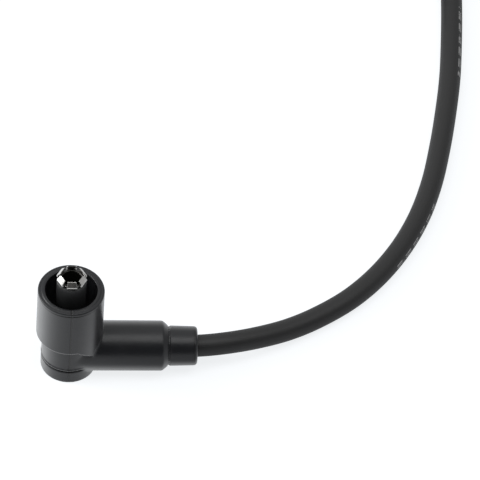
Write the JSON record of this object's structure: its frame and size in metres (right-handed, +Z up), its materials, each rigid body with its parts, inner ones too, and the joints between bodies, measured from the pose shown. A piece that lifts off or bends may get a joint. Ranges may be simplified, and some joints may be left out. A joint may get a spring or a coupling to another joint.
{
  "type": "spark plug wire",
  "caption": "Ignition lead: elbow boot with open cup and nickel crown contact, long black rubber cable, coiled and tied, and a straight spark plug boot on its far end.",
  "frame": {"origin": "centre of the elbow boot's flat base, under the stalk's axis", "axes": "+Z up along the stalk and the open cup, +X along the boot's sleeve towards the cable, +Y to the side that the cable bends to"},
  "size_m": [0.1435, 0.2825, 0.0418],
  "materials": {
    "boot_rubber": "satin moulded rubber",
    "cable_jacket": "matt extruded rubber",
    "stalk_plastic": "smooth hard plastic",
    "nickel": "bright nickel plate",
    "brass": "drawn brass",
    "spring_steel": "bright spring wire",
    "ceramic": "unglazed ceramic",
    "tie_nylon": "moulded nylon"
  },
  "bodies": {
    "root": {"elbow_boot": "boot_rubber", "stalk_insulator": "stalk_plastic", "contact_crown": "nickel", "resistor_cap_lower": "brass", "suppression_resistor": "ceramic", "resistor_cap_upper": "brass", "elbow_terminal": "brass", "cable_lead": "cable_jacket", "cable_coil": "cable_jacket", "cable_tail": "cable_jacket", "coil_tie_1": "tie_nylon", "coil_tie_2": "tie_nylon", "plug_boot": "boot_rubber", "plug_terminal": "brass", "terminal_clip": "spring_steel"}
  },
  "joints": []
}
